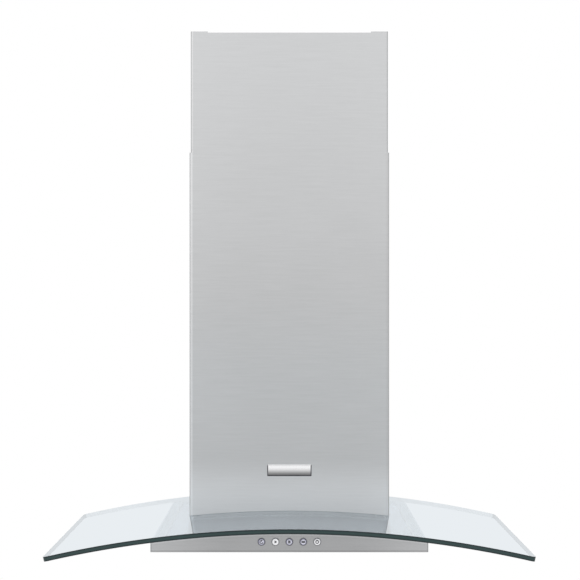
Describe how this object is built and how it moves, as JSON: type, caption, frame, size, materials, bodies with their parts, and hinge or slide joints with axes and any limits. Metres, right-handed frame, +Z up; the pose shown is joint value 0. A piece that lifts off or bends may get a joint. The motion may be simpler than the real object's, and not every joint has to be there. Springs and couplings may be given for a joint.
{
  "type": "wall mount range hood",
  "caption": "Wall-mounted range hood: curved glass canopy on a shallow steel body with filters, lamps and push buttons, under a telescopic steel chimney that hides the blower.",
  "frame": {"origin": "centre of the four holes of the wall bracket, on the wall plane", "axes": "+Z up, -Y out of the wall towards the cook, +X to the right seen from the front"},
  "size_m": [0.8, 0.5, 0.8977],
  "materials": {
    "brushed_sheet": "horizontal brushing, satin",
    "flue_sheet": "horizontal brushing, satin",
    "canopy_glass": "polished, clear with a green edge",
    "seal_silicone": "milky silicone",
    "seal_rubber": "matt",
    "bright_fasteners": "satin",
    "galvanised": "galvanised sheet",
    "collar_white": "moulded",
    "damper_sheet": "plain sheet",
    "scroll_sheet": "galvanised sheet",
    "impeller_plastic": "moulded",
    "shaft_steel": "ground",
    "core_iron": "laminated",
    "windings": "enamelled copper wire",
    "motor_case": "die cast",
    "bearing_bronze": "sintered",
    "white_plastic": "moulded",
    "glide_nylon": "moulded",
    "badge_chrome": "polished",
    "dark_plastic": "moulded",
    "button_lilac": "polished",
    "button_white": "polished",
    "spring_steel": "drawn wire",
    "lamp_trim": "polished",
    "lamp_lens": "frosted",
    "lamp_heat_sink": "die cast",
    "filter_aluminium": "plain",
    "cable_pvc": "smooth sheath"
  },
  "bodies": {
    "hood": {"canopy_body": "brushed_sheet", "bottom_panel": "brushed_sheet", "glass_canopy": "canopy_glass", "glass_gasket": "seal_silicone", "glass_grommets": "seal_rubber", "glass_bolts": "bright_fasteners", "motor_housing": "galvanised", "wall_bracket": "galvanised", "outlet_collar": "collar_white", "damper_pin": "shaft_steel", "scroll_left": "scroll_sheet", "scroll_right": "scroll_sheet", "stator_core": "core_iron", "stator_windings": "windings", "motor_casing": "motor_case", "motor_bearings": "bearing_bronze", "motor_arms": "galvanised", "capacitor": "white_plastic", "lower_flue": "flue_sheet", "flue_clips": "galvanised", "flue_glides": "glide_nylon", "badge_plate": "badge_chrome", "switch_box": "dark_plastic", "button_bezels": "dark_plastic", "button_springs": "spring_steel", "led_driver": "white_plastic", "lamp_bezels": "lamp_trim", "lamp_lenses": "lamp_lens", "lamp_bodies": "lamp_heat_sink", "lamp_leads": "cable_pvc", "filter_pivots": "galvanised", "sheet_screws": "bright_fasteners", "junction_box": "white_plastic", "junction_box_lid": "white_plastic", "cable_gland": "dark_plastic", "wiring_loom": "cable_pvc"},
    "upper_chimney": {"upper_flue": "flue_sheet", "flue_bracket": "galvanised", "flue_screws": "bright_fasteners"},
    "fan_rotor": {"impeller": "impeller_plastic", "motor_shaft": "shaft_steel", "rotor_core": "core_iron"},
    "damper_front": {"damper_flap_front": "damper_sheet"},
    "damper_rear": {"damper_flap_rear": "damper_sheet"},
    "filter_left": {"filter_left_frame": "filter_aluminium", "filter_left_mesh": "filter_aluminium", "latch_spring_left": "spring_steel"},
    "filter_right": {"filter_right_frame": "filter_aluminium", "filter_right_mesh": "filter_aluminium", "latch_spring_right": "spring_steel"},
    "latch_slider_left": {"latch_left": "dark_plastic"},
    "latch_slider_right": {"latch_right": "dark_plastic"},
    "key_power": {"button_power": "button_lilac"},
    "key_low": {"button_low": "button_white"},
    "key_medium": {"button_medium": "button_lilac"},
    "key_high": {"button_high": "button_lilac"},
    "key_light": {"button_light": "button_white"}
  },
  "joints": [
    {"name": "chimney_height", "type": "slide", "parent": "hood", "child": "upper_chimney", "axis": [0, 0, 1], "range_m": [-0.21, 0.24]},
    {"name": "fan_spin", "type": "hinge", "parent": "hood", "child": "fan_rotor", "pos_m": [0, -0.15001, -0.097], "axis": [1, 0, 0], "continuous": true},
    {"name": "damper_front_swing", "type": "hinge", "parent": "hood", "child": "damper_front", "pos_m": [0, -0.11, 0.0756], "axis": [-1, 0, 0], "range_deg": [0, 80]},
    {"name": "damper_rear_swing", "type": "hinge", "parent": "hood", "child": "damper_rear", "pos_m": [0, -0.11, 0.0756], "axis": [1, 0, 0], "range_deg": [0, 80]},
    {"name": "filter_left_drop", "type": "hinge", "parent": "hood", "child": "filter_left", "pos_m": [-0.111, -0.0675, -0.2975], "axis": [1, 0, 0], "range_deg": [0, 60]},
    {"name": "latch_left_slide", "type": "slide", "parent": "filter_left", "child": "latch_slider_left", "axis": [0, 1, 0], "range_m": [0, 0.006], "stiffness_N_per_m": 300, "springref_m": -0.003, "deforming": ["latch_spring_left"]},
    {"name": "filter_right_drop", "type": "hinge", "parent": "hood", "child": "filter_right", "pos_m": [0.111, -0.0675, -0.2975], "axis": [1, 0, 0], "range_deg": [0, 60]},
    {"name": "latch_right_slide", "type": "slide", "parent": "filter_right", "child": "latch_slider_right", "axis": [0, 1, 0], "range_m": [0, 0.006], "stiffness_N_per_m": 300, "springref_m": -0.003, "deforming": ["latch_spring_right"]},
    {"name": "press_power", "type": "slide", "parent": "hood", "child": "key_power", "axis": [0, 1, 0], "range_m": [0, 0.0025], "stiffness_N_per_m": 600, "springref_m": -0.001, "deforming": ["button_springs"]},
    {"name": "press_low", "type": "slide", "parent": "hood", "child": "key_low", "axis": [0, 1, 0], "range_m": [0, 0.0025], "stiffness_N_per_m": 600, "springref_m": -0.001, "deforming": ["button_springs"]},
    {"name": "press_medium", "type": "slide", "parent": "hood", "child": "key_medium", "axis": [0, 1, 0], "range_m": [0, 0.0025], "stiffness_N_per_m": 600, "springref_m": -0.001, "deforming": ["button_springs"]},
    {"name": "press_high", "type": "slide", "parent": "hood", "child": "key_high", "axis": [0, 1, 0], "range_m": [0, 0.0025], "stiffness_N_per_m": 600, "springref_m": -0.001, "deforming": ["button_springs"]},
    {"name": "press_light", "type": "slide", "parent": "hood", "child": "key_light", "axis": [0, 1, 0], "range_m": [0, 0.0025], "stiffness_N_per_m": 600, "springref_m": -0.001, "deforming": ["button_springs"]}
  ]
}
